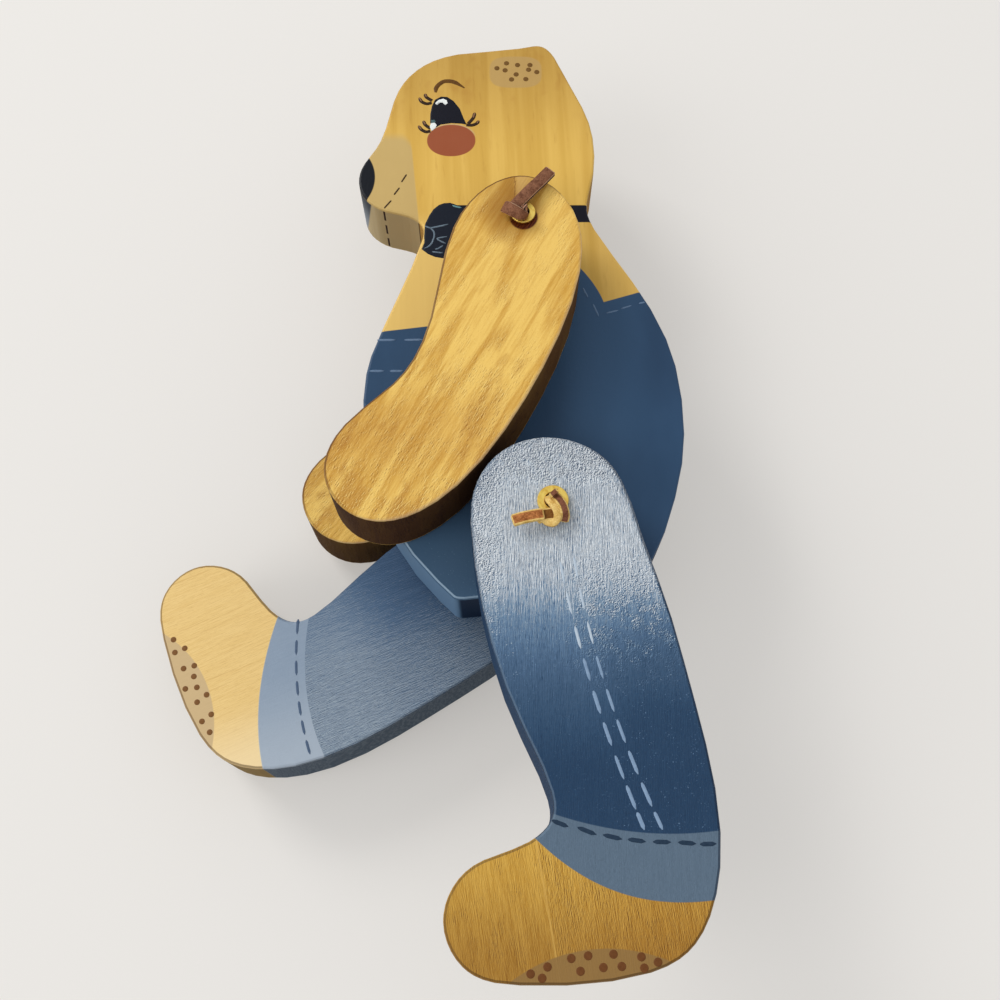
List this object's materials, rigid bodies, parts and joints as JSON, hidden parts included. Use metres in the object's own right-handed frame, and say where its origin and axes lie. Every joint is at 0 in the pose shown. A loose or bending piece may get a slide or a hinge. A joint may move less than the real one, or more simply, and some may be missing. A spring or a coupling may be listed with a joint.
{
  "type": "jointed wooden bear figure",
  "caption": "Flat bear figure sawn from thick board, in profile, with arms and legs laced on through the body so that they swing.",
  "frame": {"origin": "on the plane that the lowest lace knot touches, under the middle of the figure's bounding box, with the figure lying on its right side", "axes": "+Z out of the figure's left face, away from the surface it lies on; +Y towards the head; the figure faces -X"},
  "size_m": [0.1326, 0.2464, 0.0678],
  "materials": {
    "board_wood": "clear-finished light board with painted face and clothes",
    "blue_painted_wood": "blue paint on wood, satin",
    "brass": "polished",
    "lace_leather": "brown, flat strip"
  },
  "bodies": {
    "body": {"body_board": "board_wood", "shoulder_lace": "lace_leather", "hip_lace": "lace_leather"},
    "left_arm": {"left_arm": "board_wood", "left_shoulder_washer": "brass"},
    "right_arm": {"right_arm": "board_wood", "right_shoulder_washer": "brass"},
    "left_leg": {"left_leg": "blue_painted_wood", "left_hip_washer": "brass"},
    "right_leg": {"right_leg": "blue_painted_wood", "right_hip_washer": "brass"}
  },
  "joints": [
    {"name": "left_shoulder", "type": "hinge", "parent": "body", "child": "left_arm", "pos_m": [0.02584, 0.05527, 0.05318], "axis": [0, 0, 1], "range_deg": [-200, 0]},
    {"name": "right_shoulder", "type": "hinge", "parent": "body", "child": "right_arm", "pos_m": [0.02584, 0.05527, 0.01458], "axis": [0, 0, 1], "range_deg": [-190, 0]},
    {"name": "left_hip", "type": "hinge", "parent": "body", "child": "left_leg", "pos_m": [0.03214, -0.02073, 0.05318], "axis": [0, 0, 1], "range_deg": [-38, 100]},
    {"name": "right_hip", "type": "hinge", "parent": "body", "child": "right_leg", "pos_m": [0.03214, -0.02073, 0.01458], "axis": [0, 0, 1], "range_deg": [0, 150]}
  ]
}
